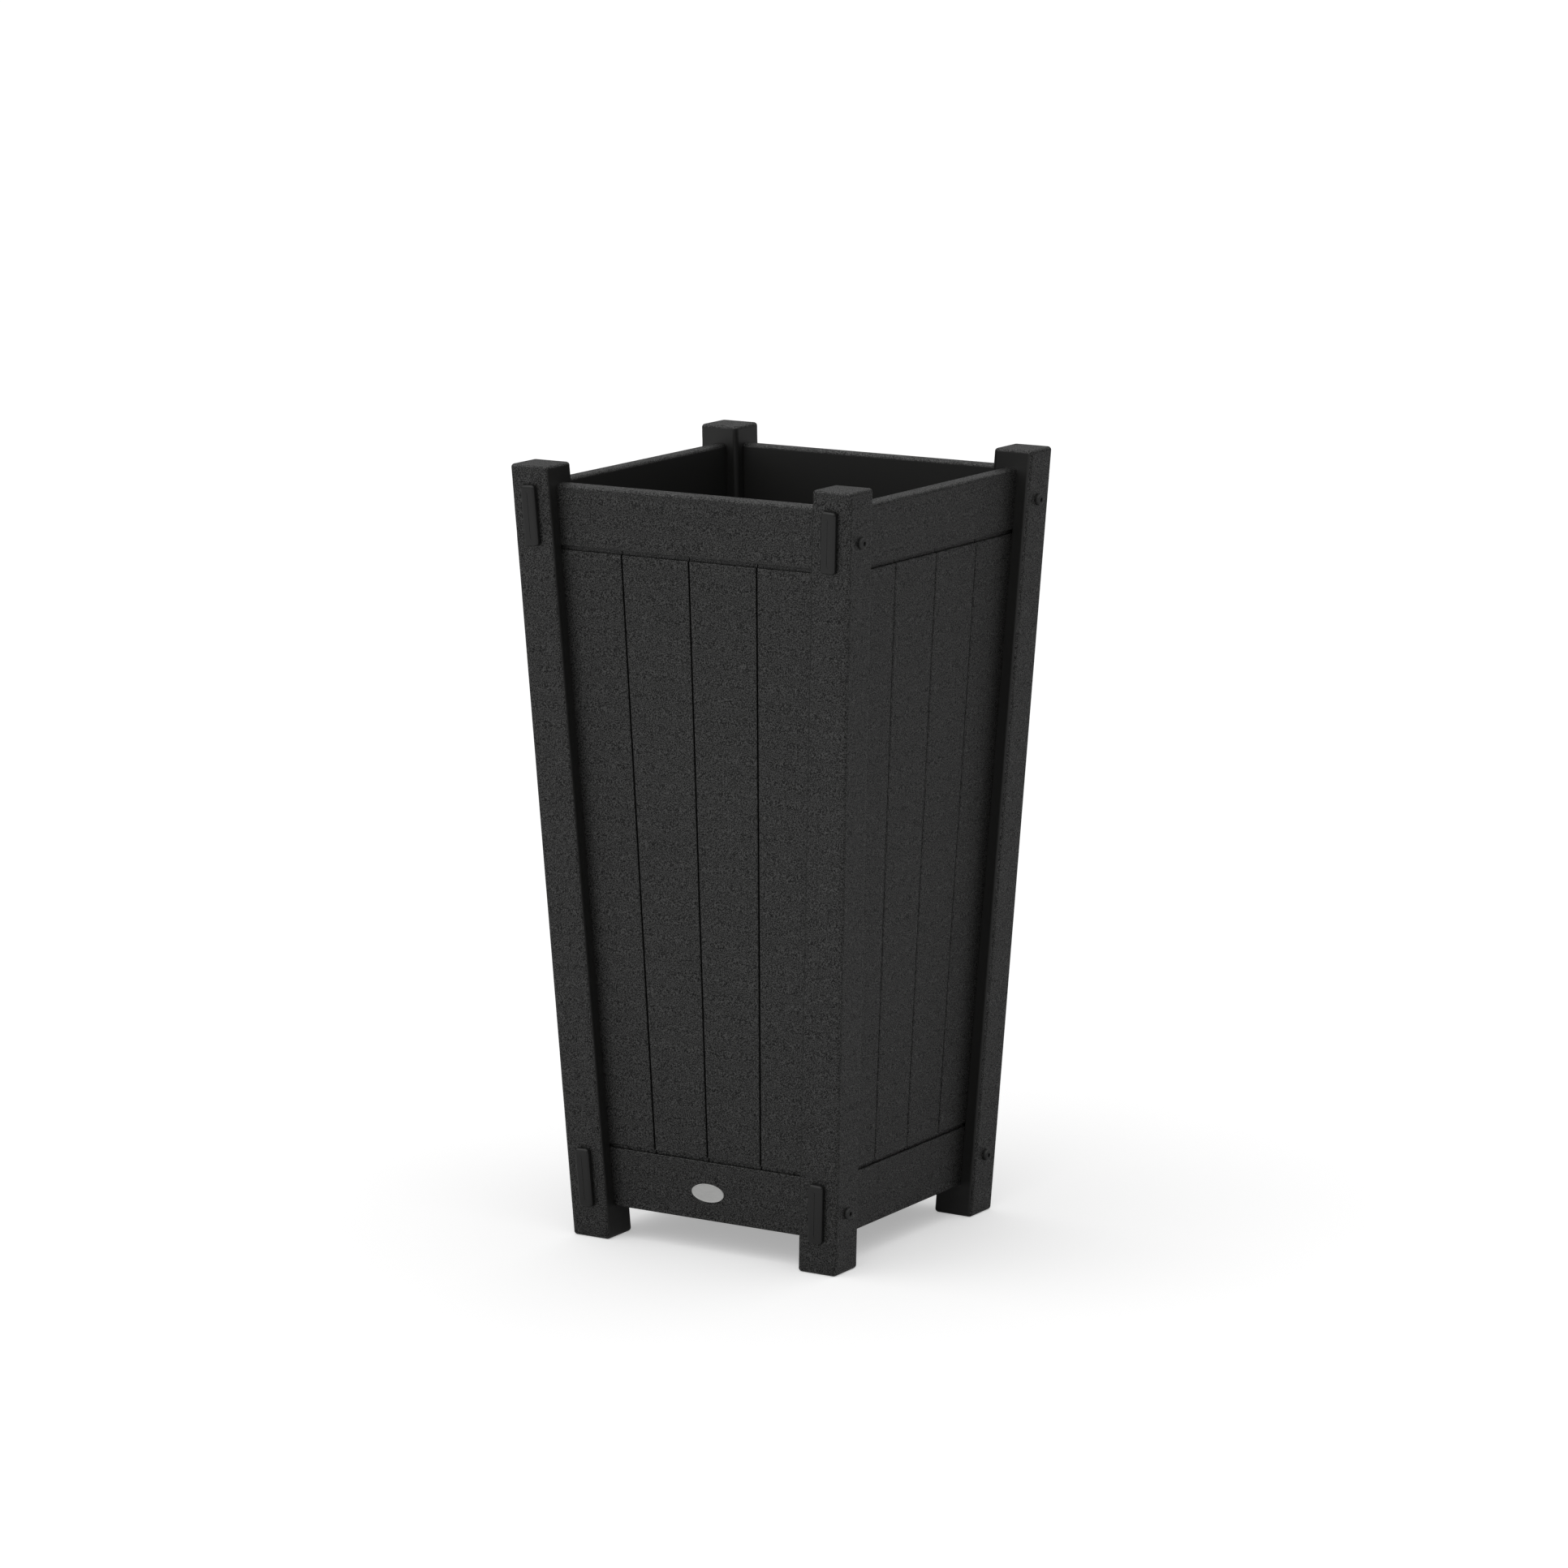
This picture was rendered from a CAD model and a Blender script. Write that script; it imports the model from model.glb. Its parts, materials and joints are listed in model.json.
"""Finishes, moulded details and studio for an open-topped, tapering, slatted litter bin."""

import json
import math

import bpy
import numpy as np
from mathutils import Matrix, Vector


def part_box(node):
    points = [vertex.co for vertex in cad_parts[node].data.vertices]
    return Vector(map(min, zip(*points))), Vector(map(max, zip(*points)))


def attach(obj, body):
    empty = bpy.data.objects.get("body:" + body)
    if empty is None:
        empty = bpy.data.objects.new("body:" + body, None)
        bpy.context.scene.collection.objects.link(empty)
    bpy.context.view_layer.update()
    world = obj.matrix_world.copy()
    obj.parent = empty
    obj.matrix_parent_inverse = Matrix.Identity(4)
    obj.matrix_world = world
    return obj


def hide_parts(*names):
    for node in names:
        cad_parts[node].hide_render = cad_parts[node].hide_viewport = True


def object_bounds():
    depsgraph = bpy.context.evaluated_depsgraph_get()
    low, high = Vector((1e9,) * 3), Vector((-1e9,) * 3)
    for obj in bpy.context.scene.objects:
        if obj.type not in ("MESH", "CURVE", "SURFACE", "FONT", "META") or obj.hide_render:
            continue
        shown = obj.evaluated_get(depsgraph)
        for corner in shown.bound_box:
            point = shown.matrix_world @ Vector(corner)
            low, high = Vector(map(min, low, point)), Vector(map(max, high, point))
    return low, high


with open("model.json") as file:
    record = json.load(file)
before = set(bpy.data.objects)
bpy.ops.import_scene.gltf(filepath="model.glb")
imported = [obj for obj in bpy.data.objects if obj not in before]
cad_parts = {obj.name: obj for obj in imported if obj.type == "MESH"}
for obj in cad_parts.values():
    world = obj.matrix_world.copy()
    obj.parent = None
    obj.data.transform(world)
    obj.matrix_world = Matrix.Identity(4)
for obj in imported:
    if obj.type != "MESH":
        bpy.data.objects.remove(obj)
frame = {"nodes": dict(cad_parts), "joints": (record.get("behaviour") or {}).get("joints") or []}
cad_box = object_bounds()

bl_info = {
    "name": "Slatted litter bin",
    "version": (1, 0, 0),
    "blender": (4, 5, 0),
    "location": "3D View > Sidebar > Litter bin",
    "description": "Dresses the packed litter bin with its finishes, moulded details and a plain studio",
    "category": "Object",
}

MM = 0.001
FRAME_BODY = "bin_frame"
LINER_BODY = "liner"
BAIL_BODY = "liner_bail"
CAP_NODES = [
    f"cap_{level}_{corner}"
    for level in ("bottom", "top")
    for corner in ("front_right", "front_left", "back_right", "back_left")
]
BOLT_NODES = {"right": "panel_bolts_right", "left": "panel_bolts_left"}
LUMBER_PREFIXES = ("post_", "bottom_rail_", "top_rail_", "slat_", "floor_board_", "floor_cleat_")
SHARP_ANGLE = math.radians(38)


# ---------------------------------------------------------------- sizes and colours
class LumberSettings(bpy.types.PropertyGroup):
    """Finish of the embossed plastic lumber."""

    dark: bpy.props.FloatVectorProperty(
        name="Dark grain", description="Colour in the hollows of the grain", subtype="COLOR",
        default=(0.0010, 0.0010, 0.0009), min=0, max=1,
    )
    light: bpy.props.FloatVectorProperty(
        name="Light grain", description="Colour on the crowns of the grain", subtype="COLOR",
        default=(0.0200, 0.0200, 0.0184), min=0, max=1,
    )
    grain: bpy.props.FloatProperty(
        name="Grain size", description="Width of one pebble of the embossed grain",
        default=1.15 * MM, min=0.1 * MM, unit="LENGTH", precision=5,
    )
    relief: bpy.props.FloatProperty(
        name="Grain relief", description="Height of the embossed grain",
        default=0.62 * MM, min=0, unit="LENGTH", precision=5,
    )
    roughness: bpy.props.FloatProperty(
        name="Roughness", description="Middle roughness of the lumber", default=0.42, min=0, max=1,
    )


class CapSettings(bpy.types.PropertyGroup):
    """Moulded cover caps over the rail screws."""

    proud: bpy.props.FloatProperty(
        name="Standing height", description="How far a cap stands out of its post",
        default=6.5 * MM, min=1 * MM, unit="LENGTH", precision=5,
    )
    corner: bpy.props.FloatProperty(
        name="Corner radius", description="Radius of a cap's four corners, seen from the front",
        default=4.5 * MM, min=0.5 * MM, unit="LENGTH", precision=5,
    )
    edge: bpy.props.FloatProperty(
        name="Edge radius", description="Radius of the edge round a cap's outer face",
        default=3.4 * MM, min=0.2 * MM, unit="LENGTH", precision=5,
    )
    spigot_inset: bpy.props.FloatProperty(
        name="Spigot inset", description="Step from a cap's outline in to its spigot",
        default=2.55 * MM, min=0.2 * MM, unit="LENGTH", precision=5,
    )
    colour: bpy.props.FloatVectorProperty(
        name="Colour", description="Colour of the moulded plastic", subtype="COLOR",
        default=(0.0080, 0.0080, 0.0076), min=0, max=1,
    )


class BoltSettings(bpy.types.PropertyGroup):
    """Button-head bolts that hold the panels."""

    head_height: bpy.props.FloatProperty(
        name="Head height", description="Height of the button head",
        default=4.4 * MM, min=1 * MM, unit="LENGTH", precision=5,
    )
    shank: bpy.props.FloatProperty(
        name="Shank diameter", description="Diameter of the bolt's shank",
        default=8.0 * MM, min=1 * MM, unit="LENGTH", precision=5,
    )
    flats: bpy.props.FloatProperty(
        name="Socket across flats", description="Width of the hexagon socket across its flats",
        default=5.0 * MM, min=1 * MM, unit="LENGTH", precision=5,
    )
    socket_depth: bpy.props.FloatProperty(
        name="Socket depth", description="Depth of the hexagon socket",
        default=2.6 * MM, min=0.5 * MM, unit="LENGTH", precision=5,
    )
    colour: bpy.props.FloatVectorProperty(
        name="Colour", description="Colour of the black coating", subtype="COLOR",
        default=(0.0220, 0.0220, 0.0216), min=0, max=1,
    )


class PlateSettings(bpy.types.PropertyGroup):
    """Blank oval plate on the front's bottom rail."""

    rim: bpy.props.FloatProperty(
        name="Rim width", description="Width of the raised border",
        default=0.9 * MM, min=0.1 * MM, unit="LENGTH", precision=5,
    )
    dish: bpy.props.FloatProperty(
        name="Dish", description="How far the middle lies below the border",
        default=0.18 * MM, min=0, unit="LENGTH", precision=5,
    )
    colour: bpy.props.FloatVectorProperty(
        name="Colour", description="Colour of the brushed metal", subtype="COLOR",
        default=(0.66, 0.66, 0.65), min=0, max=1,
    )


class LinerSettings(bpy.types.PropertyGroup):
    """Lift-out liner and its wire bail."""

    wall: bpy.props.FloatProperty(
        name="Wall", description="Thickness of the liner's wall",
        default=3.0 * MM, min=0.5 * MM, unit="LENGTH", precision=5,
    )
    corner: bpy.props.FloatProperty(
        name="Corner radius", description="Radius of the liner's upright corners",
        default=45.0 * MM, min=5 * MM, unit="LENGTH", precision=5,
    )
    rim_width: bpy.props.FloatProperty(
        name="Rim width", description="How far the rolled rim stands out of the wall",
        default=6.0 * MM, min=1 * MM, unit="LENGTH", precision=5,
    )
    rim_height: bpy.props.FloatProperty(
        name="Rim height", description="Height of the rolled rim",
        default=4.5 * MM, min=1 * MM, unit="LENGTH", precision=5,
    )
    ear: bpy.props.FloatProperty(
        name="Ear radius", description="Radius of the bosses that carry the bail",
        default=14.0 * MM, min=5 * MM, unit="LENGTH", precision=5,
    )
    colour: bpy.props.FloatVectorProperty(
        name="Colour", description="Colour of the liner's plastic", subtype="COLOR",
        default=(0.030, 0.030, 0.031), min=0, max=1,
    )
    wire: bpy.props.FloatProperty(
        name="Bail wire", description="Diameter of the bail's wire",
        default=6.0 * MM, min=1 * MM, unit="LENGTH", precision=5,
    )


class StudioSettings(bpy.types.PropertyGroup):
    """Camera, floor and light."""

    azimuth: bpy.props.FloatProperty(
        name="Azimuth", description="Camera's turn round the bin from its front",
        default=math.radians(31.82), subtype="ANGLE",
    )
    elevation: bpy.props.FloatProperty(
        name="Elevation", description="Camera's angle above the horizon",
        default=math.radians(10.96), subtype="ANGLE",
    )
    distance: bpy.props.FloatProperty(
        name="Distance", description="Camera's distance from the point it looks at",
        default=7.087, min=0.5, unit="LENGTH",
    )
    aim: bpy.props.FloatProperty(
        name="Aim height", default=0.5763, min=0, max=1,
        description="Height of the point that the camera looks at, as a share of the bin's",
    )
    lens: bpy.props.FloatProperty(
        name="Lens", description="Focal length on a 36 mm sensor",
        default=139.44, min=10, subtype="DISTANCE_CAMERA",
    )
    floor_colour: bpy.props.FloatVectorProperty(
        name="Floor", description="Colour of the studio floor", subtype="COLOR",
        default=(0.90, 0.90, 0.90), min=0, max=1,
    )
    bounce: bpy.props.FloatProperty(
        name="Floor bounce", description="Share of its light that the floor throws back on the bin",
        default=0.48, min=0, max=1,
    )
    glow: bpy.props.FloatProperty(
        name="Floor glow", description="Light that shows through the lit floor from below",
        default=0.37, min=0,
    )
    floor_size: bpy.props.FloatProperty(
        name="Floor size", description="Width of the studio floor", default=60.0, min=5, unit="LENGTH",
    )
    zenith: bpy.props.FloatProperty(
        name="Overhead light", description="Brightness of the studio dome straight above",
        default=0.94, min=0,
    )
    horizon: bpy.props.FloatProperty(
        name="Level light", description="Brightness of the studio dome at floor level",
        default=0.14, min=0,
    )
    softbox: bpy.props.FloatProperty(
        name="Softbox", description="Brightness of the broad soft light at the side",
        default=0.45, min=0,
    )
    pool: bpy.props.FloatProperty(
        name="Pool", description="Light that the bright side of the floor throws back",
        default=0.27, min=0,
    )
    pool_azimuth: bpy.props.FloatProperty(
        name="Pool azimuth", default=math.radians(13), subtype="ANGLE",
        description="Direction of the floor's bright side round the bin from its front",
    )
    softbox_azimuth: bpy.props.FloatProperty(
        name="Softbox azimuth", description="Direction of the side light round the bin from its front",
        default=math.radians(-20), subtype="ANGLE",
    )
    softbox_elevation: bpy.props.FloatProperty(
        name="Softbox elevation", description="Angle of the side light above the floor",
        default=math.radians(40), subtype="ANGLE",
    )


# ---------------------------------------------------------------- shader maths
class Value:
    """A socket's value; arithmetic on it adds Math nodes to its shader."""

    def __init__(self, shader, socket):
        self.shader = shader
        self.socket = socket

    def _math(self, operation, *terms):
        settings = {"operation": operation}
        return self.shader.node("ShaderNodeMath", settings, dict(enumerate(terms)))["Value"]

    def __add__(self, other):
        return self._math("ADD", self, other)

    def __radd__(self, other):
        return self._math("ADD", other, self)

    def __sub__(self, other):
        return self._math("SUBTRACT", self, other)

    def __rsub__(self, other):
        return self._math("SUBTRACT", other, self)

    def __mul__(self, other):
        return self._math("MULTIPLY", self, other)

    def __rmul__(self, other):
        return self._math("MULTIPLY", other, self)

    def step(self, low, high):
        """Rises smoothly from 0 at low to 1 at high."""
        settings = {"interpolation_type": "SMOOTHSTEP"}
        inputs = {"Value": self, "From Min": low, "From Max": high}
        return self.shader.node("ShaderNodeMapRange", settings, inputs)["Result"]


class Node:
    """A node whose outputs are read by name as Values."""

    def __init__(self, shader, node):
        self.shader = shader
        self.made = node

    def __getitem__(self, output):
        return Value(self.shader, self.made.outputs[output])


class Shader:
    """One node tree, of a material or of the world."""

    def __init__(self, owner):
        owner.use_nodes = True
        self.tree = owner.node_tree
        self.tree.nodes.clear()

    def node(self, kind, settings=None, inputs=None):
        """Adds a node of a type, applies its settings, then fills its sockets with values or links."""
        made = self.tree.nodes.new(kind)
        for name, value in (settings or {}).items():
            setattr(made, name, value)
        for name, value in (inputs or {}).items():
            socket = made.inputs[name]
            if isinstance(value, Value):
                self.tree.links.new(value.socket, socket)
            else:
                socket.default_value = value
        return Node(self, made)

    def object_place(self):
        """The surface point in the bin's own metres."""
        return self.node("ShaderNodeTexCoord")["Object"]

    def dot(self, first, second):
        """Dot product of two vectors."""
        settings = {"operation": "DOT_PRODUCT"}
        return self.node("ShaderNodeVectorMath", settings, {0: first, 1: second})["Value"]

    def stretched(self, place, scale):
        """A place multiplied axis by axis, which stretches a pattern along an axis."""
        settings = {"operation": "MULTIPLY"}
        return self.node("ShaderNodeVectorMath", settings, {0: place, 1: scale})["Vector"]

    def noise(self, place, size, detail=2.0):
        """Cloudy noise from 0 to 1 whose blobs are about one size across."""
        inputs = {"Vector": place, "Scale": 1 / size, "Detail": detail}
        return self.node("ShaderNodeTexNoise", None, inputs)["Fac"]

    def pebbles(self, place, size):
        """Distance to the nearest pebble's middle, about 0 to 1, for pebbles of one size."""
        settings = {"feature": "SMOOTH_F1"}
        inputs = {"Vector": place, "Scale": 1 / size, "Smoothness": 0.6}
        return self.node("ShaderNodeTexVoronoi", settings, inputs)["Distance"]

    def blend(self, mask, first, second):
        """The first colour where the mask is 0, the second where it is 1."""
        settings = {"data_type": "RGBA"}
        mixed = self.node("ShaderNodeMix", settings, {0: mask, 6: colour(first), 7: colour(second)})
        return Value(self, mixed.made.outputs[2])

    def bump(self, height, relief):
        """Normal of a height field of a given relief in metres."""
        inputs = {"Height": height, "Distance": relief, "Strength": 1.0}
        return self.node("ShaderNodeBump", None, inputs)["Normal"]


def colour(value):
    """A colour with full alpha, or a linked colour as it stands."""
    if isinstance(value, Value):
        return value
    return (*value, 1.0)


def new_shader(name):
    """The empty shader of a new material."""
    return Shader(bpy.data.materials.new(name))


def surface(name, shader, values):
    """The named material, its shader closed with a surface node and an output."""
    closing = shader.node("ShaderNodeBsdfPrincipled", None, values)
    shader.node("ShaderNodeOutputMaterial", None, {"Surface": closing["BSDF"]})
    return bpy.data.materials[name]


def tones(base, darker, lighter):
    """Two tones of a colour, as shares of it."""
    return [c * darker for c in base], [c * lighter for c in base]


# ---------------------------------------------------------------- finishes
def embossed_lumber(settings):
    """Black plastic lumber: fine pebbled grain with lighter crowns, darker hollows and faint clouding.
    Faces that look in towards the bin's axis are left nearly smooth, as they come off the saw."""
    name = "embossed_black_lumber"
    shader = new_shader(name)
    coordinates = shader.node("ShaderNodeTexCoord")
    place = coordinates["Object"]
    outwards = shader.dot(place, coordinates["Normal"])
    embossed = outwards.step(-10 * MM, 10 * MM)
    hollow, crown = 0.39, 0.65
    smooth_gloss, smooth_relief = 0.42, 0.12
    coarse = shader.noise(place, settings.grain, detail=1.0)
    fine = shader.noise(place, settings.grain * 0.45, detail=0.0)
    pits = shader.pebbles(place, settings.grain * 1.6)
    clouds = shader.noise(place, 0.16, detail=2.0)
    grain = coarse * 0.75 + fine * 0.35 - pits * 0.10
    crowns = grain.step(hollow, crown) * embossed + (1 - embossed) * smooth_gloss
    tone = crowns * 0.90 + clouds * 0.2 - 0.10
    values = {
        "Base Color": shader.blend(tone, settings.dark, settings.light),
        "Roughness": settings.roughness + 0.06 - crowns * 0.12 + clouds * 0.04,
        "Specular IOR Level": 0.2,
        "Coat Weight": crowns,
        "Coat Roughness": settings.roughness,
        "Coat IOR": 1.76,
        "Normal": shader.bump(grain * (smooth_relief + embossed * (1 - smooth_relief)), settings.relief),
    }
    return surface(name, shader, values)


def moulded_plastic(name, settings, specular, roughness):
    """Satin moulded plastic: a faint orange-peel skin, slow clouding and fine rub marks."""
    shader = new_shader(name)
    place = shader.object_place()
    peel = shader.noise(place, 1.1 * MM, detail=1.0)
    clouds = shader.noise(place, 14 * MM, detail=3.0)
    rubs = shader.noise(shader.stretched(place, (1.0, 1.0, 0.08)), 0.7 * MM, detail=2.0)
    tone = 0.25 + clouds * 0.5 + (rubs - 0.5) * 0.25
    values = {
        "Base Color": shader.blend(tone, *tones(settings.colour, 0.86, 1.12)),
        "Roughness": roughness - 0.05 + clouds * 0.07 + (rubs - 0.5) * 0.08,
        "Specular IOR Level": specular,
        "Normal": shader.bump(peel, 0.015 * MM),
    }
    return surface(name, shader, values)


def blackened_metal(settings):
    """Black-coated steel: satin coating with fine speckle and slightly worn tone."""
    name = "blackened_bolt_steel"
    shader = new_shader(name)
    place = shader.object_place()
    speckle = shader.noise(place, 0.35 * MM, detail=2.0)
    clouds = shader.noise(place, 5 * MM, detail=2.0)
    tone = speckle.step(0.35, 0.7) * 0.5 + clouds * 0.5
    values = {
        "Base Color": shader.blend(tone, *tones(settings.colour, 0.7, 1.3)),
        "Roughness": 0.40 + clouds * 0.12,
        "Specular IOR Level": 0.5,
        "Normal": shader.bump(speckle, 0.02 * MM),
    }
    return surface(name, shader, values)


def brushed_metal(name, base, stretch, roughness):
    """Brushed metal: fine lines, drawn out along the axis of least stretch, over slow clouding."""
    shader = new_shader(name)
    place = shader.object_place()
    lines = shader.noise(shader.stretched(place, stretch), 0.25 * MM, detail=2.0)
    clouds = shader.noise(place, 9 * MM, detail=2.0)
    tone = lines.step(0.25, 0.75) * 0.6 + clouds * 0.4
    values = {
        "Base Color": shader.blend(tone, *tones(base, 0.88, 1.10)),
        "Metallic": 0.35,
        "Roughness": roughness - 0.06 + lines * 0.12,
        "Normal": shader.bump(lines, 0.006 * MM),
    }
    return surface(name, shader, values)


def plated_metal(name, base, roughness):
    """Plated or turned metal: small spangles of differing tone and roughness."""
    shader = new_shader(name)
    place = shader.object_place()
    spangle = {"Vector": place, "Scale": 1 / (2.2 * MM)}
    tint = shader.node("ShaderNodeTexVoronoi", {"feature": "F1"}, spangle)["Distance"]
    grains = shader.noise(place, 0.5 * MM, detail=2.0)
    tone = tint * 0.7 + grains * 0.3
    values = {
        "Base Color": shader.blend(tone, *tones(base, 0.80, 1.08)),
        "Metallic": 1.0,
        "Roughness": roughness - 0.05 + tint * 0.12,
        "Normal": shader.bump(grains, 0.01 * MM),
    }
    return surface(name, shader, values)


def dress(names, material):
    """Gives CAD nodes a finish through their material slots."""
    for name in names:
        for held in frame["nodes"][name].material_slots:
            held.material = material


# ---------------------------------------------------------------- surfaces
def outward_mesh(name, stacks):
    """One mesh from closed stacks of rings, each an array (rings, points round, xyz). Neighbouring rings
    are joined by quads and the two end rings are closed; a stack whose signed volume is negative is
    turned inside out."""
    points, faces, start = [], [], 0
    for rings in stacks:
        count, around = rings.shape[:2]
        if signed_volume(rings) < 0:
            rings = rings[:, ::-1]
        index = start + np.arange(count * around).reshape(count, around)
        beside = np.roll(index, -1, axis=1)
        quads = np.stack([index[:-1], beside[:-1], beside[1:], index[1:]], axis=-1)
        faces += quads.reshape(-1, 4).tolist()
        faces += [index[0, ::-1].tolist(), index[-1].tolist()]
        points.append(rings.reshape(-1, 3))
        start += count * around
    mesh = bpy.data.meshes.new(name)
    mesh.from_pydata(np.concatenate(points), [], faces)
    mesh.shade_smooth()
    mesh.set_sharp_from_angle(angle=SHARP_ANGLE)
    return mesh


def signed_volume(rings):
    """Volume inside a stack of rings: a sixth of the sum, over the triangles that close it, of the triple
    product of their corners. Each quad counts as two triangles and each end ring as a fan."""
    here, beside = rings[:-1], np.roll(rings, -1, axis=1)[:-1]
    above, across = rings[1:], np.roll(rings, -1, axis=1)[1:]
    lower = np.einsum("ijk,ijk->", here, np.cross(beside, across))
    upper = np.einsum("ijk,ijk->", here, np.cross(across, above))
    ends = 0.0
    for ring, sense in ((rings[0], -1), (rings[-1], 1)):
        middle = ring.mean(0)
        ends += sense * (middle @ np.cross(ring, np.roll(ring, -1, axis=0)).sum(0))
    return (lower + upper + ends) / 6


def add_piece(name, stacks, material, body, replaced):
    """Links a new piece, gives it its finish and tells the frame what it stands for."""
    piece = bpy.data.objects.new(name, outward_mesh(name, stacks))
    piece.data.materials.append(material)
    bpy.context.scene.collection.objects.link(piece)
    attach(piece, body)
    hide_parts(*replaced)
    return piece


def unit(vector):
    """A vector scaled to length one."""
    vector = np.asarray(vector, float)
    return vector / np.linalg.norm(vector)


def node_points(name):
    """All corners of a CAD node's mesh, as rows of x, y, z."""
    mesh = frame["nodes"][name].data
    flat = np.empty(len(mesh.vertices) * 3)
    mesh.vertices.foreach_get("co", flat)
    return flat.reshape(-1, 3)


def lean():
    """How far a post leans outwards for each metre of height, read from the caps' places."""
    low = sum(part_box("cap_bottom_front_right"), Vector()) / 2
    high = sum(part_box("cap_top_front_right"), Vector()) / 2
    return (high.x - low.x) / (high.z - low.z)


def seat_axes(side, along):
    """Axes of a seat on a leaning face: across, up along the face, and outwards."""
    out = unit((*side, -lean()))
    across = unit(np.cross(along, out))
    return np.array([across, np.cross(out, across), out])


def seated(rings, axes, origin):
    """Rings drawn in a seat's axes, moved to the seat."""
    return origin + rings @ axes


def measured(points, axes):
    """Lowest and highest extent of points along each of three axes."""
    along = points @ axes.T
    return along.min(0), along.max(0)


def quarter_arc(radius, steps):
    """Offsets along a quarter circle: how far it has come in, and how far it has risen."""
    turn = np.linspace(0, math.pi / 2, steps)
    return radius * (1 - np.cos(turn)), radius * np.sin(turn)


def rounded_rectangle(half_x, half_y, radius, steps=9):
    """Outline of a rectangle, anticlockwise: four quarter circles of a few points, each shifted from the
    middle by the half widths less the radius."""
    turn = np.linspace(0, math.pi / 2, steps)
    quarter = np.arange(4)[:, None] * math.pi / 2
    sign_x = np.array([1, -1, -1, 1])[:, None]
    sign_y = np.array([1, 1, -1, -1])[:, None]
    x = sign_x * (half_x - radius) + radius * np.cos(turn + quarter)
    y = sign_y * (half_y - radius) + radius * np.sin(turn + quarter)
    return np.stack([x.ravel(), y.ravel()], axis=-1)


def rounded_square_ring(half, radius, around=192):
    """Outline of a square with round corners at even angles: a ray meets the straight side at half over
    its larger cosine, and near a corner it meets the corner's circle."""
    angle = (np.arange(around) + 0.5) * 2 * math.pi / around
    c, s = np.abs(np.cos(angle)), np.abs(np.sin(angle))
    flat = half / np.maximum(c, s)
    core = half - radius
    reach = core * (c + s)
    root = np.sqrt(np.maximum(reach ** 2 - 2 * core ** 2 + radius ** 2, 0))
    distance = np.where(flat * np.minimum(c, s) > core, reach + root, flat)
    return np.stack([distance * np.cos(angle), distance * np.sin(angle)], axis=-1)


# ---------------------------------------------------------------- pieces
def cap_rings(half_x, half_y, depth, caps):
    """A cap: one rounded outline carried up its spigot, out to the seat, up the side, and over a round
    edge whose inset and rise follow a quarter circle, to a face that is very slightly crowned."""
    foot = 0.25 * MM
    least_corner = 0.3 * MM
    crown_inset = caps.edge + np.array([0.8, 3.0, 6.0]) * MM
    crown_level = caps.proud + np.array([0.02, 0.06, 0.09]) * MM
    come_in, rise = quarter_arc(caps.edge, 8)
    seat = caps.spigot_inset
    inset = np.concatenate([[seat, seat, foot, 0.0], come_in, crown_inset])
    level = np.concatenate([[-depth, 0.0, 0.0, foot], caps.proud - caps.edge + rise, crown_level])
    outlines = [
        rounded_rectangle(half_x - d, half_y - d, max(caps.corner - d, least_corner)) for d in inset
    ]
    return np.stack([np.c_[outline, np.full(len(outline), z)] for outline, z in zip(outlines, level)])


class BIN_OT_lumber(bpy.types.Operator):
    """Gives posts, rails, slats, floor boards and cleats their embossed black finish"""

    bl_idname = "litter_bin.lumber"
    bl_label = "Lumber"

    def execute(self, context):
        material = embossed_lumber(context.scene.bin_lumber)
        dress([n for n in frame["nodes"] if n.startswith(LUMBER_PREFIXES)], material)
        return {"FINISHED"}


class BIN_OT_fasteners(bpy.types.Operator):
    """Gives the inserts and screws their metal finishes"""

    bl_idname = "litter_bin.fasteners"
    bl_label = "Inserts and screws"

    def execute(self, context):
        stainless = plated_metal("stainless_screw_steel", (0.50, 0.50, 0.49), 0.34)
        brass = plated_metal("turned_brass", (0.58, 0.43, 0.20), 0.36)
        dress(["rail_screws", "cleat_screws", "floor_screws"], stainless)
        dress(["threaded_inserts"], brass)
        return {"FINISHED"}


class BIN_OT_caps(bpy.types.Operator):
    """Makes the eight moulded cover caps with soft edges"""

    bl_idname = "litter_bin.caps"
    bl_label = "Cover caps"

    def execute(self, context):
        caps = context.scene.bin_caps
        material = moulded_plastic("satin_cap_plastic", caps, specular=0.5, roughness=0.34)
        for name in CAP_NODES:
            side_y = -1 if "front" in name else 1
            side_x = 1 if "right" in name else -1
            along = (side_x * lean(), side_y * lean(), 1)
            axes = seat_axes((0, side_y), along)
            low, high = measured(node_points(name), axes)
            half_x, half_y, _ = (high - low) / 2
            depth = high[2] - low[2] - caps.proud
            middle = (low + high) / 2
            origin = np.array([middle[0], middle[1], high[2] - caps.proud]) @ axes
            rings = seated(cap_rings(half_x, half_y, depth, caps), axes, origin)
            add_piece(f"moulded_{name}", [rings], material, FRAME_BODY, [name])
        return {"FINISHED"}


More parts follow.
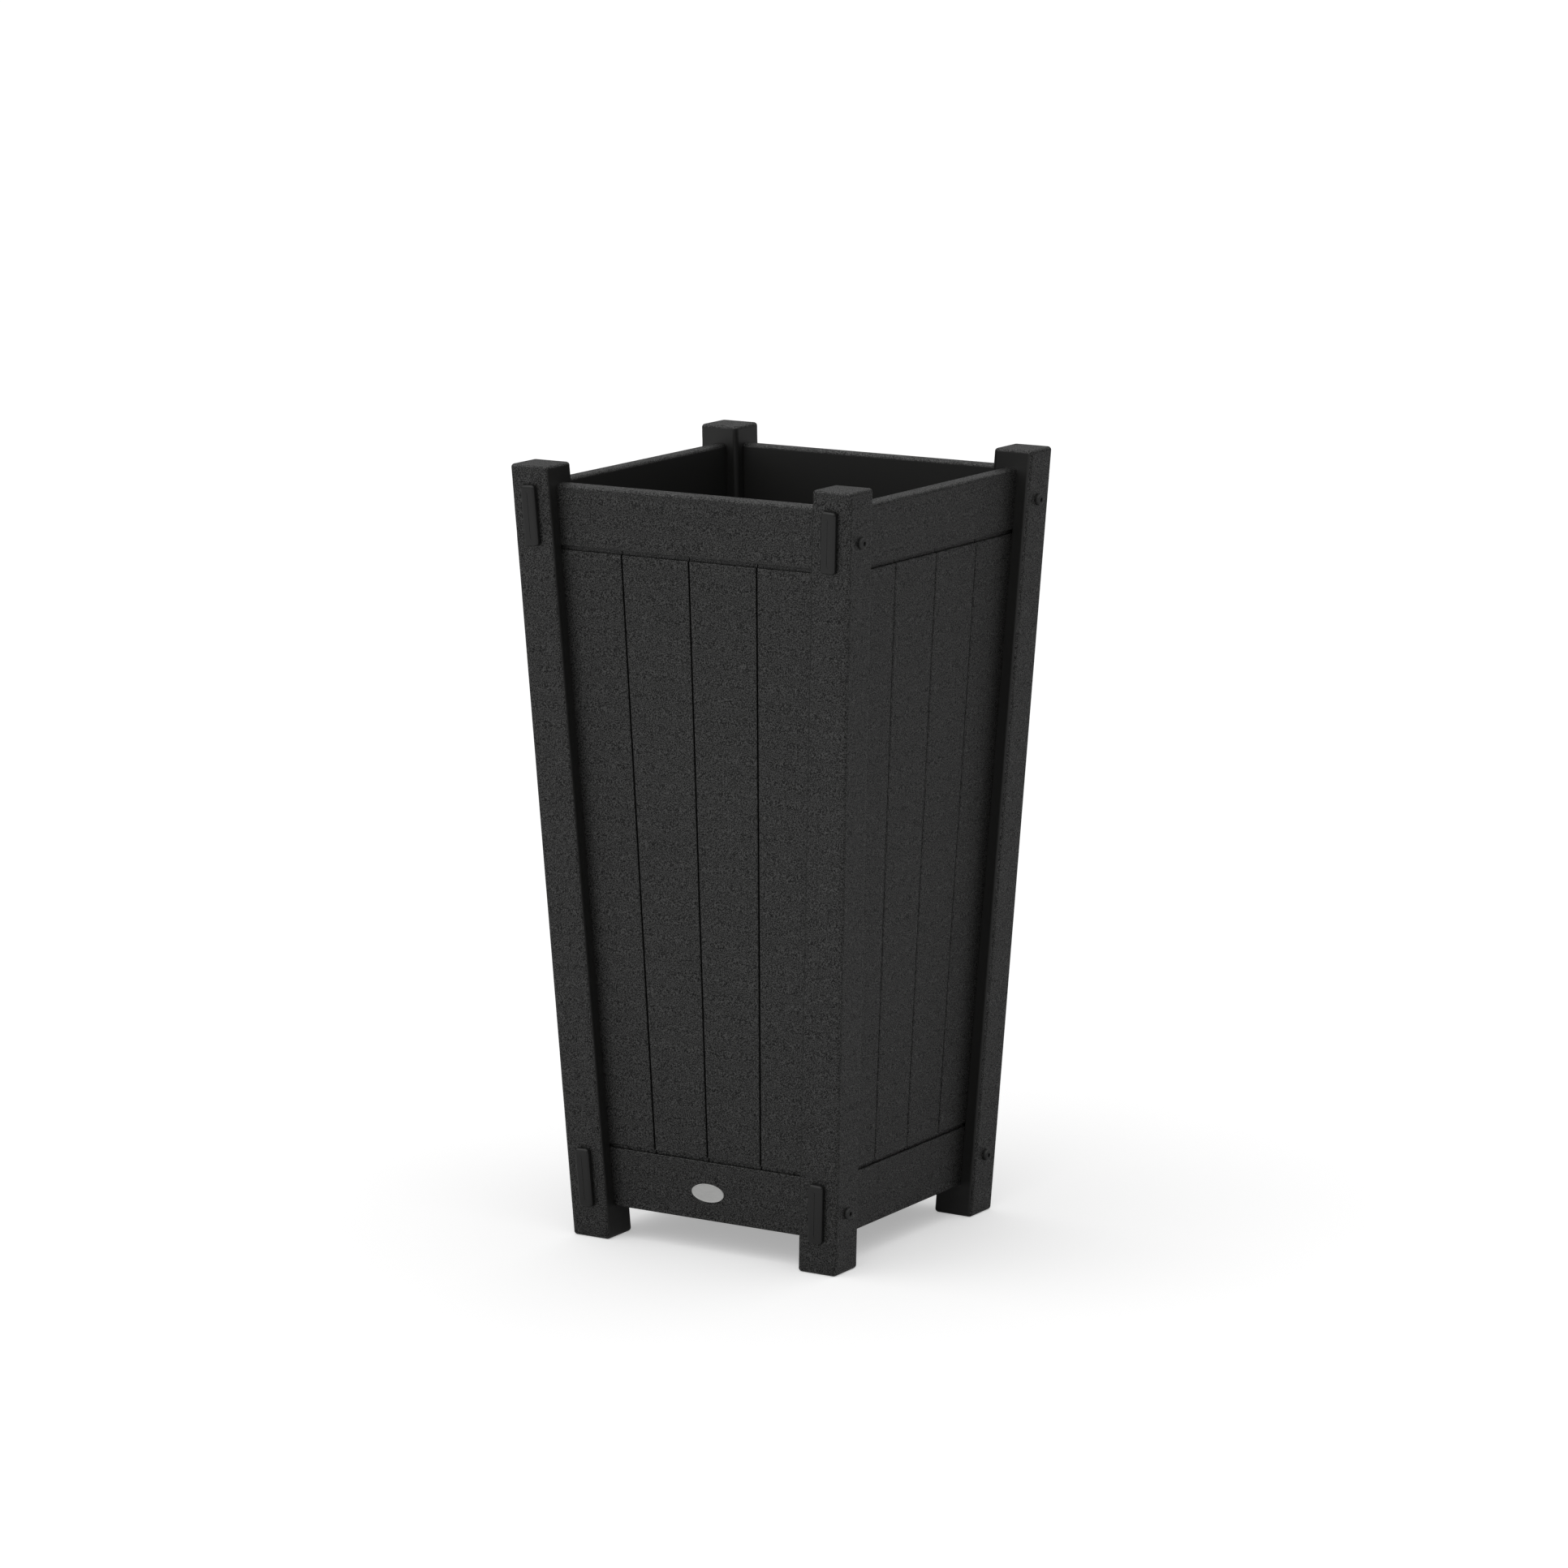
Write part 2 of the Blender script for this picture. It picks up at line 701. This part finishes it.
def bolt_rings(radius, length, bolts, around=72):
    """A button-head bolt turned about its axis: up the shank, out under the head, over the domed edge and
    in to the socket. The dome's radius falls as the root of one less a power of its height. The socket's
    radius at an angle is half its flats over the cosine of the angle to the nearest flat."""
    turn = np.arange(around) * 2 * math.pi / around
    to_flat = (turn + math.pi / 6) % (math.pi / 3) - math.pi / 6
    hexagon = bolts.flats / 2 / np.cos(to_flat)
    circle = np.ones(around)
    shank = bolts.shank / 2
    tip_chamfer = 0.8 * MM
    rim = 0.5 * MM
    under_inset, under_rise = 0.3 * MM, 0.25 * MM
    lip, lead_in, drill_point = 0.55 * MM, 0.35 * MM, 0.6 * MM
    top = bolts.head_height
    socket_floor = top - bolts.socket_depth
    dome = np.linspace(0, 1, 14)
    crown = 1.55 * hexagon.max()
    dome_radius = crown + (radius - crown) * np.sqrt(1 - dome ** 2.2)
    dome_height = rim + (top - rim) * dome ** 0.92
    rows = [(circle * (shank - tip_chamfer), -length), (circle * shank, tip_chamfer - length)]
    rows += [(circle * shank, 0.0), (circle * (radius - under_inset), 0.0), (circle * radius, under_rise)]
    rows += [(circle * r, z) for r, z in zip(dome_radius, dome_height)]
    rows += [(hexagon + lip, top), (hexagon + lead_in, top - 0.05 * MM), (hexagon, top - lead_in)]
    rows += [(hexagon, socket_floor), (hexagon * 0.02, socket_floor - drill_point)]
    return np.stack([np.c_[r * np.cos(turn), r * np.sin(turn), np.full(around, z)] for r, z in rows])


class BIN_OT_bolts(bpy.types.Operator):
    """Makes the eight button-head panel bolts"""

    bl_idname = "litter_bin.bolts"
    bl_label = "Panel bolts"

    def execute(self, context):
        bolts = context.scene.bin_bolts
        material = blackened_metal(bolts)
        for side, name in BOLT_NODES.items():
            side_x = 1 if side == "right" else -1
            axes = seat_axes((side_x, 0), (0, 0, 1))
            points = node_points(name)
            middle_z = (points[:, 2].min() + points[:, 2].max()) / 2
            stacks = []
            for upper in (False, True):
                for back in (False, True):
                    one = points[((points[:, 2] > middle_z) == upper) & ((points[:, 1] > 0) == back)]
                    low, high = measured(one, axes)
                    radius = (high[0] - low[0]) / 2
                    length = high[2] - low[2] - bolts.head_height
                    middle = (low + high) / 2
                    origin = np.array([middle[0], middle[1], high[2] - bolts.head_height]) @ axes
                    stacks.append(seated(bolt_rings(radius, length, bolts), axes, origin))
            add_piece(f"button_bolts_{side}", stacks, material, FRAME_BODY, [name])
        return {"FINISHED"}


def plate_rings(half_x, half_y, thickness, plate, around=160):
    """An oval plate: an ellipse carried up a straight edge, over a rounded border and down to a shallow
    dish. The inset at each ring is taken off both half widths."""
    turn = np.arange(around) * 2 * math.pi / around
    edge = 0.35 * MM
    flat_inset = plate.rim + np.array([2.0, 5.0, 9.0]) * MM
    come_in, rise = quarter_arc(edge, 6)
    fall, sink = quarter_arc(plate.dish, 5)
    inset = np.concatenate([[0.0], come_in, plate.rim + fall * 2, flat_inset])
    flat_level = np.full(len(flat_inset), thickness - plate.dish)
    level = np.concatenate([[0.0], thickness - edge + rise, thickness - sink, flat_level])
    rings = []
    for d, z in zip(inset, level):
        rings.append(np.c_[(half_x - d) * np.cos(turn), (half_y - d) * np.sin(turn), np.full(around, z)])
    return np.stack(rings)


class BIN_OT_plate(bpy.types.Operator):
    """Makes the blank oval plate with its raised border"""

    bl_idname = "litter_bin.plate"
    bl_label = "Oval plate"

    def execute(self, context):
        plate = context.scene.bin_plate
        material = brushed_metal("brushed_plate_aluminium", plate.colour, (0.04, 1.0, 1.0), 0.5)
        axes = seat_axes((0, -1), (0, 0, 1))
        low, high = measured(node_points("name_plate"), axes)
        half_x, half_y, _ = (high - low) / 2
        middle = (low + high) / 2
        origin = np.array([middle[0], middle[1], low[2]]) @ axes
        rings = seated(plate_rings(half_x, half_y, high[2] - low[2], plate), axes, origin)
        add_piece("blank_oval_plate", [rings], material, FRAME_BODY, ["name_plate"])
        return {"FINISHED"}


def liner_rings(liner):
    """The liner as one round-cornered square carried along a profile: from the inside of the base up the
    inner wall, over the rolled rim and down the outer wall to the underside. At a height the wall stands
    at the rim's half width less the lean; it draws in by a raised cosine at each stiffening groove."""
    low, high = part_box("liner")
    slope = lean()
    grooves = low.z + (high.z - low.z) * np.array([0.34, 0.62, 0.88])
    groove_depth, groove_half_width = 1.2 * MM, 7 * MM
    inner_foot, outer_foot = 9 * MM, 8 * MM
    lip = 1.6 * MM
    near_middle, halfway = 0.995, 0.5

    def half(z):
        return high.y - liner.rim_width - slope * (high.z - z)

    wall_z = np.linspace(low.z + 14 * MM, high.z - 8 * MM, 120)
    near = np.clip(np.abs(wall_z - grooves[:, None]) / groove_half_width, 0, 1)
    pull = (groove_depth * (1 + np.cos(math.pi * near)) / 2).sum(0)
    inside = low.z + liner.wall
    come_in, rise = quarter_arc(inner_foot, 8)
    foot_in, foot_rise = quarter_arc(outer_foot, 8)
    bead = np.linspace(math.pi, -math.pi / 2, 22)
    roll = liner.rim_height / 2
    rim_out = liner.rim_width - roll + roll * np.cos(bead)
    rim_up = high.z - roll + roll * np.sin(bead)
    rows = [(-half(inside) * near_middle, inside), (-half(inside) * halfway, inside)]
    rows += [(-liner.wall - d, inside + inner_foot - r) for d, r in zip(come_in[::-1], rise[::-1])]
    rows += [(-liner.wall - p, z) for p, z in zip(pull, wall_z)]
    rows += [(-liner.wall, high.z - lip), (-liner.wall + 0.5 * MM, high.z - 0.5 * MM)]
    rows += [(-liner.wall + lip, high.z)]
    rows += zip(rim_out, rim_up)
    rows += [(0.0, high.z - liner.rim_height)]
    rows += [(-p, z) for p, z in zip(pull[::-1], wall_z[::-1])]
    rows += [(-d, low.z + outer_foot - r) for d, r in zip(foot_in, foot_rise)]
    rows += [(-half(low.z) * halfway, low.z), (-half(low.z) * near_middle, low.z)]
    rings = []
    for offset, z in rows:
        wide = half(z) + offset
        ring = rounded_square_ring(wide, min(max(liner.corner + offset, 1 * MM), wide * 0.98))
        rings.append(np.c_[ring, np.full(len(ring), z)])
    return np.stack(rings)


def ear_rings(liner, side, around=64):
    """A boss round the bail's pivot: a disc turned about X with a rounded outer edge and a dimpled eye,
    set into the liner's wall."""
    proud, depth, edge, chamfer = 6.6 * MM, 9 * MM, 1.8 * MM, 0.5 * MM
    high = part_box("liner")[1]
    pivot_z = pivot()[2]
    face = high.y - liner.rim_width - lean() * (high.z - pivot_z) + proud
    root = face - depth
    turn = np.arange(around) * 2 * math.pi / around
    come_in, rise = quarter_arc(edge, 7)
    eye = liner.wire / 2 + 0.4 * MM
    rows = [(liner.ear - chamfer, root), (liner.ear, root + chamfer)]
    rows += [(liner.ear - d, face - edge + r) for d, r in zip(come_in, rise)]
    rows += [(eye + 1.2 * MM, face), (eye + 0.3 * MM, face - 0.3 * MM)]
    rows += [(eye, face - 1.0 * MM), (eye, root)]
    y, z = np.cos(turn), np.sin(turn)
    return np.stack([np.c_[np.full(around, x * side), r * y, pivot_z + r * z] for r, x in rows])


def pivot():
    """A point on the bail's hinge axis."""
    hinge = next(j for j in frame["joints"] if j["child"] == BAIL_BODY)
    return np.array(hinge["pos_m"], float)


class BIN_OT_liner(bpy.types.Operator):
    """Makes the lift-out liner with its rolled rim, stiffening grooves and ears"""

    bl_idname = "litter_bin.liner"
    bl_label = "Liner"

    def execute(self, context):
        liner = context.scene.bin_liner
        material = moulded_plastic("moulded_liner_plastic", liner, specular=0.4, roughness=0.5)
        stacks = [liner_rings(liner), ear_rings(liner, 1), ear_rings(liner, -1)]
        add_piece("moulded_liner", stacks, material, LINER_BODY, ["liner"])
        return {"FINISHED"}


def bail_path(liner):
    """Middle line of the bail: out of each ear, round a tight bend, along a leg, round the far corner and
    across. It is drawn flat, then turned down about the hinge."""
    bend, corner, turned_in = 5 * MM, 57 * MM, 18 * MM
    low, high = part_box("liner_bail")
    radius = liner.wire / 2
    hinge = pivot()
    leg = high.x - radius
    bar_y, bar_z = high.y - radius, low.z + radius - hinge[2]
    reach, angle = math.hypot(bar_y, bar_z), math.atan2(bar_z, bar_y)
    tip = leg - turned_in
    first = rounded_corner((tip, 0), (leg, 0), (leg, reach), bend, 9)
    last = rounded_corner((leg, 0), (leg, reach), (-leg, reach), corner, 33)
    pin = np.linspace((tip, 0), first[0], 4)[:-1]
    straight = np.linspace(first[-1], last[0], 12)[1:-1]
    across = np.linspace(last[-1], (0.0, reach), 6)[1:]
    half = np.concatenate([pin, first, straight, last, across])
    x, y = np.concatenate([half, half[-2::-1] * (-1, 1)]).T
    return np.stack([x, y * math.cos(angle), hinge[2] + y * math.sin(angle)], axis=-1)


def rounded_corner(before, corner, after, radius, steps):
    """Points of the arc that rounds a corner between two straights: it starts one radius times the tangent
    of half the turn before the corner and swings towards the second straight."""
    corner = np.asarray(corner, float)
    into, out_of = unit(corner - before), unit(after - corner)
    turn = math.acos(into @ out_of)
    inward = unit(out_of - into * math.cos(turn))
    start = corner - into * radius * math.tan(turn / 2)
    swing = np.linspace(0, turn, steps)[:, None]
    return start + radius * (into * np.sin(swing) + inward * (1 - np.cos(swing)))


def tube_rings(path, radius, side, around=24):
    """Round wire along a flat path: at each point a circle in the plane of the path's sideways direction
    and the normal of the path's plane. The ends are domed by two shrinking circles."""
    ahead = np.gradient(path, axis=0)
    ahead /= np.linalg.norm(ahead, axis=1, keepdims=True)
    sideways = np.cross(ahead, side)
    turn = np.arange(around) * 2 * math.pi / around
    dome = [0.55, 0.9]
    shrink = np.array(dome + [1.0] * (len(path) - 4) + dome[::-1]) * radius
    circle = np.cos(turn)[None, :, None] * sideways[:, None] + np.sin(turn)[None, :, None] * side
    return path[:, None] + circle * shrink[:, None, None]


class BIN_OT_bail(bpy.types.Operator):
    """Makes the wire bail that lifts the liner"""

    bl_idname = "litter_bin.bail"
    bl_label = "Bail"

    def execute(self, context):
        liner = context.scene.bin_liner
        path = bail_path(liner)
        normal = unit(np.cross(path[len(path) // 2] - path[0], path[-1] - path[0]))
        material = plated_metal("galvanised_bail_wire", (0.46, 0.47, 0.48), 0.42)
        rings = tube_rings(path, liner.wire / 2, normal)
        add_piece("wire_bail", [rings], material, BAIL_BODY, ["liner_bail"])
        return {"FINISHED"}


# ---------------------------------------------------------------- studio
def direction(azimuth, elevation):
    """Unit direction at an angle round the bin from its front and an angle above the floor."""
    level = math.cos(elevation)
    return math.sin(azimuth) * level, -math.cos(azimuth) * level, math.sin(elevation)


def studio_world(studio):
    """A white studio dome: as a light it is bright overhead, dimmer at floor level and brighter at the
    softbox; as a background it is plain white."""
    world = bpy.data.worlds.new("studio_dome")
    bpy.context.scene.world = world
    shader = Shader(world)
    towards = shader.node("ShaderNodeTexCoord")["Generated"]
    up = shader.node("ShaderNodeSeparateXYZ", None, {0: towards})["Z"]
    key = direction(studio.softbox_azimuth, studio.softbox_elevation)
    facing = shader.dot(towards, key)
    dome_foot, softbox_edge = 0.1, 0.5
    light = studio.horizon + up.step(dome_foot, 1.0) * (studio.zenith - studio.horizon)
    light = light + facing.step(softbox_edge, 1.0) * studio.softbox
    seen = shader.node("ShaderNodeLightPath")["Is Camera Ray"]
    strength = light * (1 - seen) + seen
    dome = shader.node("ShaderNodeBackground", None, {"Color": (1, 1, 1, 1), "Strength": strength})
    shader.node("ShaderNodeOutputWorld", None, {"Surface": dome["Background"]})


def studio_floor(studio):
    """A level round floor of rings whose radii grow as a square. The light that it throws back, and its
    glow to the camera, are set apart."""
    radii = np.linspace(0, 1, 24)[1:] ** 2 * studio.floor_size / 2
    turn = np.linspace(0, 2 * math.pi, 96, endpoint=False)
    rings = radii[:, None, None] * np.stack([np.cos(turn), np.sin(turn), 0 * turn], axis=-1)
    count, around = rings.shape[:2]
    index = np.arange(count * around).reshape(count, around)
    beside = np.roll(index, -1, axis=1)
    quads = np.stack([index[:-1], index[1:], beside[1:], beside[:-1]], axis=-1).reshape(-1, 4)
    mesh = bpy.data.meshes.new("studio_floor")
    mesh.from_pydata(rings.reshape(-1, 3), [], quads.tolist() + [index[0].tolist()])
    floor = bpy.data.objects.new("studio_floor", mesh)
    bpy.context.scene.collection.objects.link(floor)
    name = "matt_studio_floor"
    shader = new_shader(name)
    seen = shader.node("ShaderNodeLightPath")["Is Camera Ray"]
    dim = [c * studio.bounce for c in studio.floor_colour]
    bright_side = direction(studio.pool_azimuth, 0.0)
    along = shader.dot(shader.object_place(), bright_side)
    pool_edge, pool_middle = -0.4, 1.0
    pool = shader.blend(along.step(pool_edge, pool_middle), (0, 0, 0), [studio.pool] * 3)
    values = {
        "Base Color": shader.blend(seen, dim, studio.floor_colour),
        "Emission Color": shader.blend(seen, pool, [studio.glow] * 3),
        "Emission Strength": 1.0,
        "Roughness": 0.9,
        "Specular IOR Level": 0.1,
    }
    floor.data.materials.append(surface(name, shader, values))


def studio_camera(studio):
    """Aims the camera at the bin's axis from its azimuth and elevation, level, at its distance."""
    back = Vector(direction(studio.azimuth, studio.elevation))
    low, high = cad_box
    aim = Vector((0, 0, low.z + studio.aim * (high.z - low.z)))
    data = bpy.data.cameras.new("studio_camera")
    data.lens = studio.lens
    data.sensor_width = 36.0
    data.clip_end = 200.0
    camera = bpy.data.objects.new("studio_camera", data)
    camera.location = aim + back * studio.distance
    camera.rotation_mode = "QUATERNION"
    camera.rotation_quaternion = (-back).to_track_quat("-Z", "Y")
    bpy.context.scene.collection.objects.link(camera)
    bpy.context.scene.camera = camera


class BIN_OT_stage(bpy.types.Operator):
    """Sets the plain pale floor, the soft studio light and the camera"""

    bl_idname = "litter_bin.stage"
    bl_label = "Studio"

    def execute(self, context):
        studio = context.scene.bin_studio
        context.scene.view_settings.view_transform = "Standard"
        studio_world(studio)
        studio_floor(studio)
        studio_camera(studio)
        return {"FINISHED"}


# ---------------------------------------------------------------- panel and registration
class BIN_PT_sidebar(bpy.types.Panel):
    """Sidebar tab with the bin's operators"""

    bl_label = "Litter bin"
    bl_idname = "BIN_PT_sidebar"
    bl_space_type = "VIEW_3D"
    bl_region_type = "UI"
    bl_category = "Litter bin"

    def draw(self, context):
        for operator in OPERATORS:
            self.layout.operator(operator.bl_idname)


OPERATORS = (
    BIN_OT_stage, BIN_OT_lumber, BIN_OT_fasteners, BIN_OT_caps, BIN_OT_bolts, BIN_OT_plate, BIN_OT_liner,
    BIN_OT_bail,
)
SETTINGS = {
    "bin_lumber": LumberSettings,
    "bin_caps": CapSettings,
    "bin_bolts": BoltSettings,
    "bin_plate": PlateSettings,
    "bin_liner": LinerSettings,
    "bin_studio": StudioSettings,
}


def register():
    for name, group in SETTINGS.items():
        bpy.utils.register_class(group)
        setattr(bpy.types.Scene, name, bpy.props.PointerProperty(type=group))
    for operator in OPERATORS:
        bpy.utils.register_class(operator)
    bpy.utils.register_class(BIN_PT_sidebar)


def unregister():
    bpy.utils.unregister_class(BIN_PT_sidebar)
    for operator in reversed(OPERATORS):
        bpy.utils.unregister_class(operator)
    for name, group in reversed(SETTINGS.items()):
        delattr(bpy.types.Scene, name)
        bpy.utils.unregister_class(group)


def main():
    register()
    for operator in OPERATORS:
        group, action = operator.bl_idname.split(".")
        getattr(getattr(bpy.ops, group), action)()


if __name__ == "__main__":
    main()
